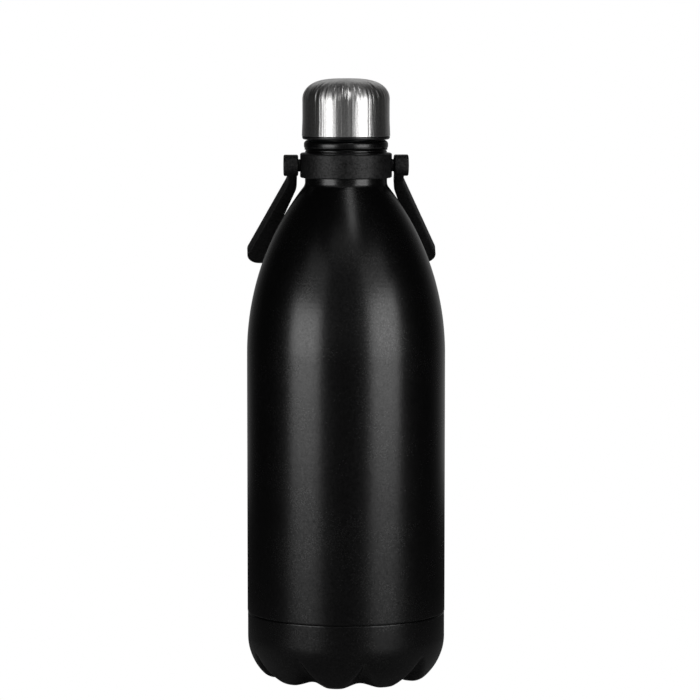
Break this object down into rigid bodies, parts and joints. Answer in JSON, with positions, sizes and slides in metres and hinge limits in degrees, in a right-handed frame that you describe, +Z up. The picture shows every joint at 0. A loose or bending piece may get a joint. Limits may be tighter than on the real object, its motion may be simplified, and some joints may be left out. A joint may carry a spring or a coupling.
{
  "type": "insulated water bottle",
  "caption": "Double-walled steel water bottle with a lobed base, a threaded stopper under a domed steel cap, and a turning neck collar with a swinging carry handle.",
  "frame": {"origin": "on the bottle's axis, in the plane its feet rest on", "axes": "+Z up along the bottle's axis; X along the handle's pivots; at rest the handle is folded down on the +Y side"},
  "size_m": [0.115, 0.1184, 0.349],
  "materials": {
    "powder_coat": "satin black, very fine grain",
    "raw_steel": "satin, electropolished inside",
    "cap_steel": "brushed around, clear sheen",
    "black_plastic": "fine grained, matte",
    "rim_plastic": "smooth, semi-gloss",
    "silicone": "matte, translucent white",
    "foam": "fine closed cells",
    "foil": "bright foil",
    "getter_alloy": "pressed powder",
    "solder_glass": "fused bead"
  },
  "bodies": {
    "flask": {"outer_shell": "powder_coat", "outer_bottom": "raw_steel", "base_cup": "powder_coat", "inner_liner": "raw_steel", "inner_bottom": "raw_steel", "radiation_foil": "foil", "getter_holder": "raw_steel", "getter_pellet": "getter_alloy", "vacuum_seal_bead": "solder_glass"},
    "gasket": {"cap_gasket": "silicone"},
    "cap": {"cap_shell": "cap_steel", "stopper": "rim_plastic", "insulation_foam": "foam", "stopper_lid": "black_plastic"},
    "collar": {"neck_collar": "black_plastic"},
    "handle": {"carry_handle": "black_plastic"}
  },
  "joints": [
    {"name": "cap_lift", "type": "slide", "parent": "flask", "child": "gasket", "axis": [0, 0, 1], "range_m": [0, 0.0202]},
    {"name": "cap_turn", "type": "hinge", "parent": "gasket", "child": "cap", "pos_m": [0, 0, 0.3135], "axis": [0, 0, 1], "range_deg": [0, 1440]},
    {"name": "collar_turn", "type": "hinge", "parent": "flask", "child": "collar", "pos_m": [0, 0, 0.2989], "axis": [0, 0, 1], "continuous": true},
    {"name": "handle_swing", "type": "hinge", "parent": "collar", "child": "handle", "pos_m": [0, 0, 0.2989], "axis": [1, 0, 0], "range_deg": [0, 270]}
  ],
  "couplings": [
    {"joint": "cap_lift", "follows": "cap_turn", "m_per_rad": 0.00079577}
  ]
}
